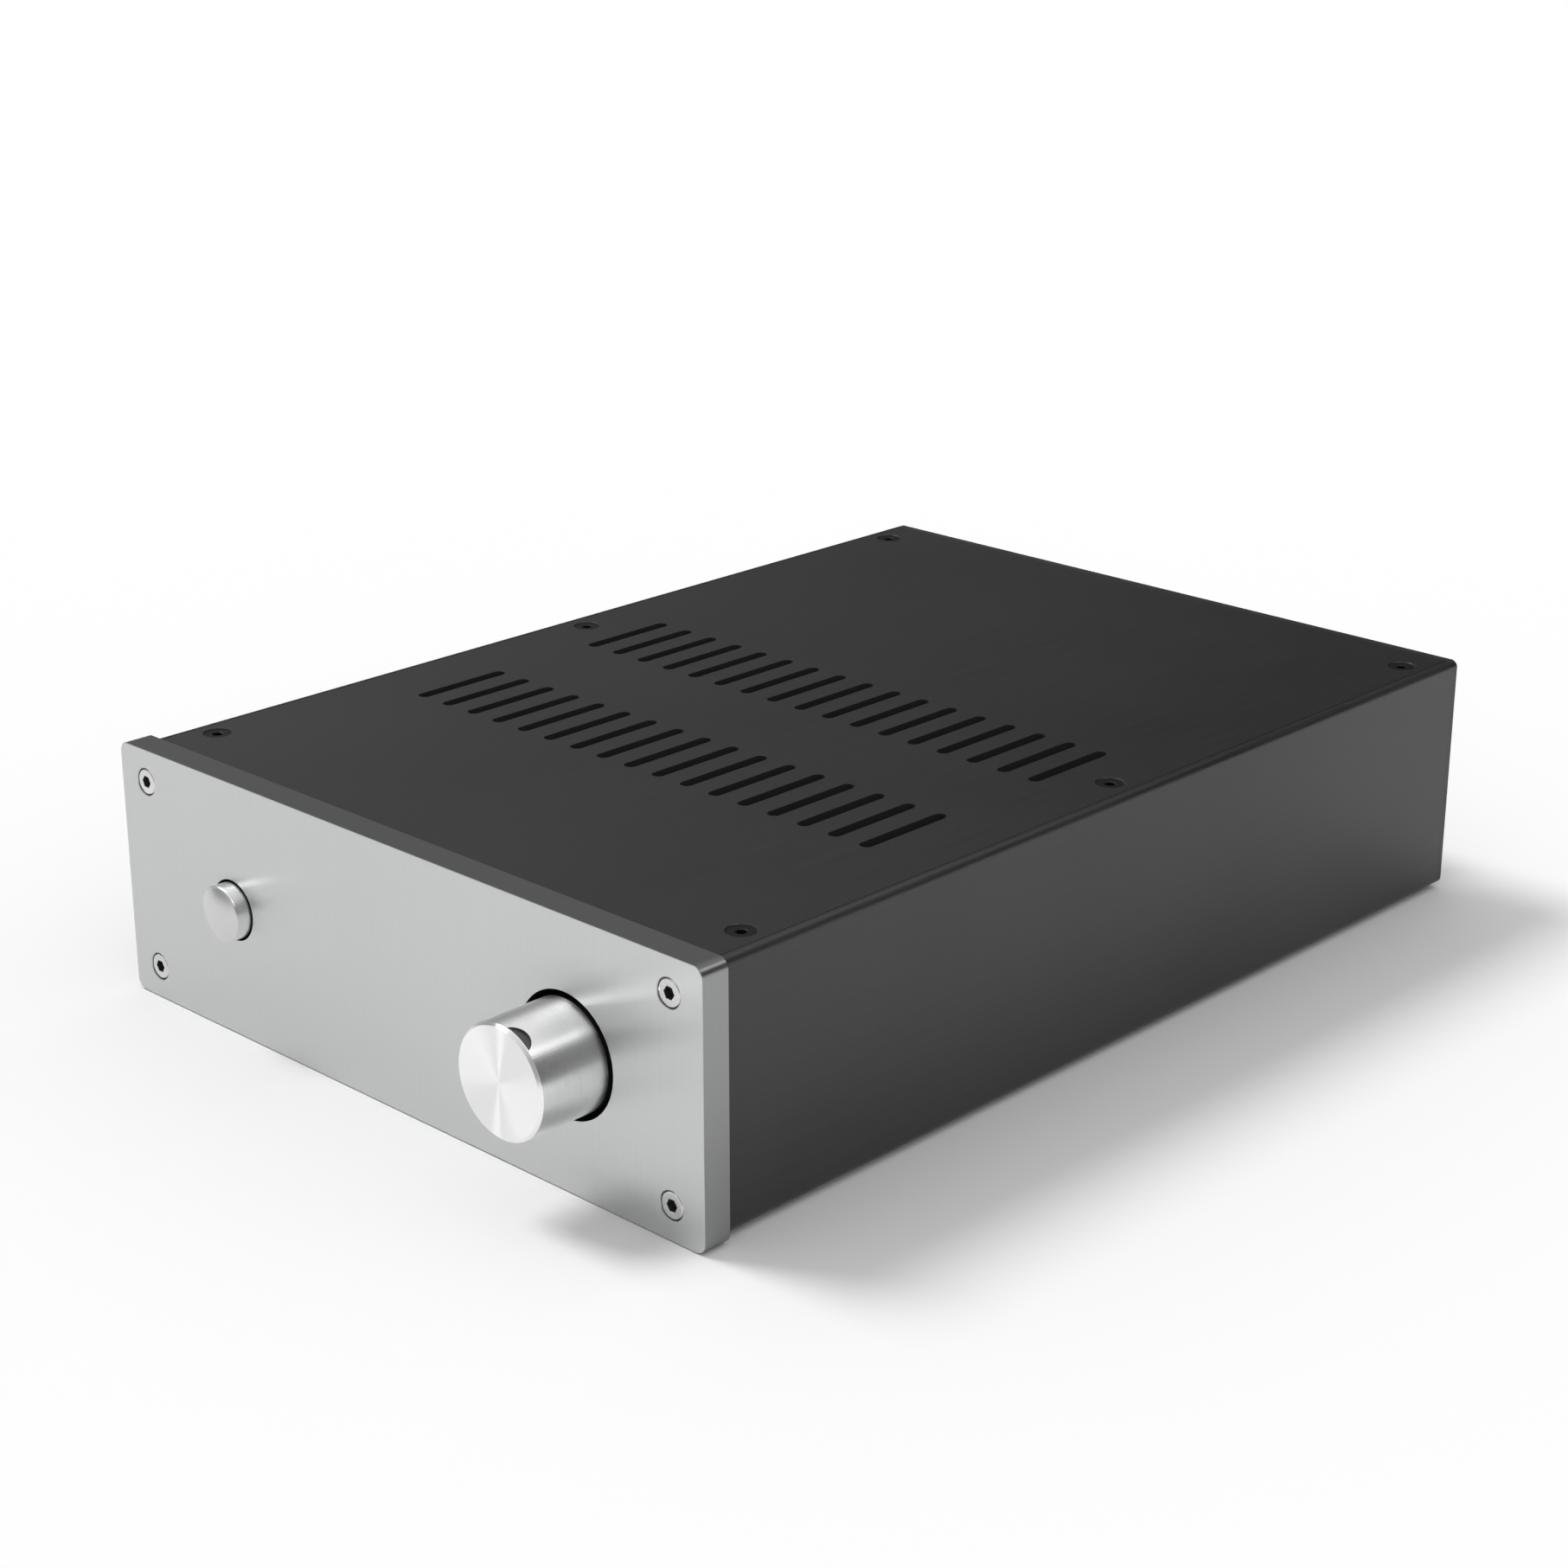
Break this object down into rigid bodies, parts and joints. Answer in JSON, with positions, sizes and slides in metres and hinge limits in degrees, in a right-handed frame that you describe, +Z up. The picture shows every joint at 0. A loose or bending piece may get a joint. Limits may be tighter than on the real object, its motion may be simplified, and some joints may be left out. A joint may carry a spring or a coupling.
{
  "type": "amplifier chassis",
  "caption": "Low metal case for an amplifier, with a thick silver front panel, a turned volume knob, a push button, a vented black cover and rear sockets.",
  "frame": {"origin": "on the standing plane, in the middle of the whole outline seen from above", "axes": "+X to the right seen from the front, +Y from the front panel to the rear panel, +Z up"},
  "size_m": [0.215, 0.341, 0.0703],
  "materials": {
    "silver_panel": "brushed along its width, clear anodised",
    "black_panel": "brushed, black anodised",
    "black_rail": "brushed along its length, black anodised",
    "black_cover": "brushed along its length, black anodised",
    "bright_screws": "nickel plated",
    "black_screws": "black oxide",
    "foot_rubber": "matt",
    "knob_metal": "turned, with a spun face, clear anodised",
    "button_metal": "turned smooth, clear anodised",
    "plated_shaft": "plated",
    "cast_zinc": "die cast",
    "black_resin": "moulded",
    "tinned_brass": "tin plated",
    "white_plastic": "moulded",
    "switch_plastic": "moulded",
    "bracket_steel": "zinc plated",
    "inlet_plastic": "moulded",
    "gilt_brass": "gold plated",
    "red_plastic": "moulded",
    "white_ring": "moulded",
    "red_cap": "moulded, fluted",
    "black_cap": "moulded, fluted"
  },
  "bodies": {
    "chassis": {"front_panel": "silver_panel", "rear_panel": "black_panel", "left_side_rail": "black_rail", "right_side_rail": "black_rail", "top_cover": "black_cover", "bottom_cover": "black_cover", "front_panel_screws": "bright_screws", "rear_panel_screws": "black_screws", "top_cover_screws": "black_screws", "bottom_cover_screws": "black_screws", "foot_pads": "foot_rubber", "potentiometer_frame": "cast_zinc", "potentiometer_body": "black_resin", "potentiometer_pins": "tinned_brass", "potentiometer_washer": "bright_screws", "potentiometer_nut": "bright_screws", "switch_body": "switch_plastic", "switch_tags": "tinned_brass", "switch_bracket": "bracket_steel", "bracket_screws": "bright_screws", "switch_screws": "bright_screws", "mains_inlet": "inlet_plastic", "inlet_contacts": "tinned_brass", "inlet_screws": "black_screws", "inlet_nuts": "bright_screws", "signal_shells": "gilt_brass", "signal_cores": "white_plastic", "signal_ring_right": "red_plastic", "signal_ring_left": "white_ring", "signal_washers": "black_resin", "signal_nuts": "gilt_brass", "post_collars_positive": "red_plastic", "post_collars_negative": "black_resin", "post_washers": "black_resin", "post_studs": "gilt_brass", "post_nuts": "gilt_brass"},
    "volume_control": {"volume_knob": "knob_metal", "knob_set_screw": "black_screws", "potentiometer_shaft": "plated_shaft"},
    "power_button": {"button_cap": "button_metal", "switch_plunger": "white_plastic"},
    "post_cap_1_body": {"post_cap_1": "black_cap"},
    "post_cap_2_body": {"post_cap_2": "red_cap"},
    "post_cap_3_body": {"post_cap_3": "black_cap"},
    "post_cap_4_body": {"post_cap_4": "red_cap"}
  },
  "joints": [
    {"name": "volume_turn", "type": "hinge", "parent": "chassis", "child": "volume_control", "pos_m": [0.0628, -0.1503, 0.0354], "axis": [0, 1, 0], "range_deg": [-175.5, 124.5]},
    {"name": "power_press", "type": "slide", "parent": "chassis", "child": "power_button", "axis": [0, 1, 0], "range_m": [0, 0.003], "stiffness_N_per_m": 600, "springref_m": -0.002},
    {"name": "post_cap_1_turn", "type": "hinge", "parent": "chassis", "child": "post_cap_1_body", "pos_m": [-0.02753, 0.1562, 0.0354], "axis": [0, 1, 0], "range_deg": [0, 720]},
    {"name": "post_cap_2_turn", "type": "hinge", "parent": "chassis", "child": "post_cap_2_body", "pos_m": [-0.00847, 0.1562, 0.0354], "axis": [0, 1, 0], "range_deg": [0, 720]},
    {"name": "post_cap_3_turn", "type": "hinge", "parent": "chassis", "child": "post_cap_3_body", "pos_m": [0.01247, 0.1562, 0.0354], "axis": [0, 1, 0], "range_deg": [0, 720]},
    {"name": "post_cap_4_turn", "type": "hinge", "parent": "chassis", "child": "post_cap_4_body", "pos_m": [0.03152, 0.1562, 0.0354], "axis": [0, 1, 0], "range_deg": [0, 720]}
  ]
}
